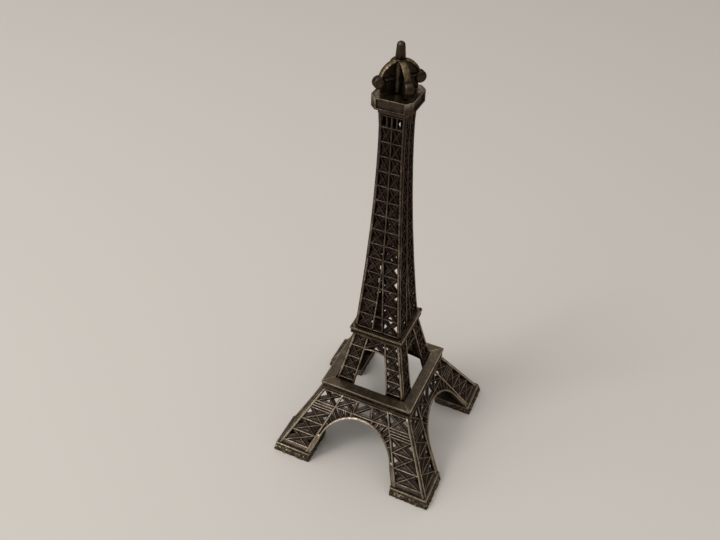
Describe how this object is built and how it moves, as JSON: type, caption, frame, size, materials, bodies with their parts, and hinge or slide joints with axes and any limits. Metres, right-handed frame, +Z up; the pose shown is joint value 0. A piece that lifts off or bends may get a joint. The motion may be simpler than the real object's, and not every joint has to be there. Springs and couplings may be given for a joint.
{
  "type": "miniature lattice tower",
  "caption": "Cast metal souvenir model of a tapering four-legged lattice tower, with round arches between its feet and two square platforms.",
  "frame": {"origin": "on the surface that the tower stands on, under the middle of its four feet", "axes": "+Z up along the tower's axis, -Y out of the front side and +X to the right of it"},
  "size_m": [0.0724, 0.0724, 0.18],
  "materials": {
    "cast_lattice": "antique bronze plating, dark brown in the recesses and rubbed paler on the edges",
    "rubbed_platform": "antique bronze plating rubbed to a warm brown gold on the flat tops",
    "rough_plinth": "antique bronze plating on a rough, stone-like casting, with a rubbed ledge",
    "lantern_bronze": "antique bronze plating worn through to yellow metal on the crowns"
  },
  "bodies": {
    "root": {"plinth_front_right": "rough_plinth", "plinth_back_right": "rough_plinth", "plinth_back_left": "rough_plinth", "plinth_front_left": "rough_plinth", "lower_frame_front": "cast_lattice", "lower_frame_right": "cast_lattice", "lower_frame_back": "cast_lattice", "lower_frame_left": "cast_lattice", "deck_1_moulding_front": "rubbed_platform", "deck_1_moulding_right": "rubbed_platform", "deck_1_moulding_back": "rubbed_platform", "deck_1_moulding_left": "rubbed_platform", "middle_frame_front": "cast_lattice", "middle_frame_right": "cast_lattice", "middle_frame_back": "cast_lattice", "middle_frame_left": "cast_lattice", "deck_2_moulding_front": "rubbed_platform", "deck_2_moulding_right": "rubbed_platform", "deck_2_moulding_back": "rubbed_platform", "deck_2_moulding_left": "rubbed_platform", "shaft_frame_front": "cast_lattice", "shaft_frame_right": "cast_lattice", "shaft_frame_back": "cast_lattice", "shaft_frame_left": "cast_lattice", "gallery": "cast_lattice", "lantern": "lantern_bronze", "antenna_pin": "lantern_bronze"}
  },
  "joints": []
}
